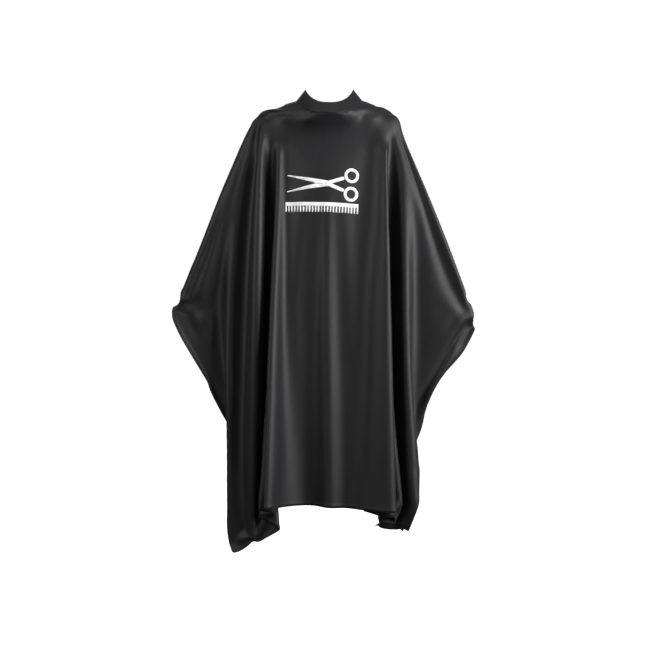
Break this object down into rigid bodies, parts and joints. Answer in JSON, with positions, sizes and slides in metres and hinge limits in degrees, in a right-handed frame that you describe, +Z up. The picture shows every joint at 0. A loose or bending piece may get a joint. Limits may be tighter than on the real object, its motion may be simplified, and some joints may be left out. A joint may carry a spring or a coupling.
{
  "type": "barber cape",
  "caption": "Long black hair-cutting cape draped as worn: contoured stand neckband, back slit with a press-snap closure tab, wide wings, short back, long front tails and a printed chest emblem.",
  "frame": {"origin": "middle of the neck opening, level with the shoulder seams of the neckband", "axes": "+Z up, the front of the cape faces -Y, the back slit and the closure are at +Y, +X is to the viewer's right when seen from the front"},
  "size_m": [0.9135, 0.2933, 1.3836],
  "materials": {
    "cape_cloth": "black polyester satin, fine weave, soft sheen",
    "band_cloth": "same black satin, topstitched",
    "band_lining": "black knit lining, matte",
    "interlining": "non-woven stiffener",
    "print_ink": "white screen-print ink",
    "snap_cap_enamel": "black enamel",
    "snap_metal": "nickel plate",
    "label_tape": "white woven tape, blank"
  },
  "bodies": {
    "root": {"cape_panel": "cape_cloth", "chest_print": "print_ink", "neckband_outer": "band_cloth", "neckband_interlining": "interlining", "neckband_inner": "band_lining", "snap_studs": "snap_metal", "snap_posts": "snap_metal"},
    "tab": {"closure_tab_outer": "band_cloth", "closure_tab_interlining": "interlining", "closure_tab_inner": "band_lining", "snap_caps": "snap_cap_enamel", "snap_sockets": "snap_metal"},
    "label": {"care_label": "label_tape"}
  },
  "joints": [
    {"name": "tab_hinge", "type": "hinge", "parent": "root", "child": "tab", "pos_m": [0.018, 0.0632, -0.025], "axis": [0, 0, -1], "range_deg": [0, 110]},
    {"name": "label_hinge", "type": "hinge", "parent": "root", "child": "label", "pos_m": [0.032, 0.0592, -0.0466], "axis": [-1, 0, 0], "range_deg": [0, 95]}
  ]
}
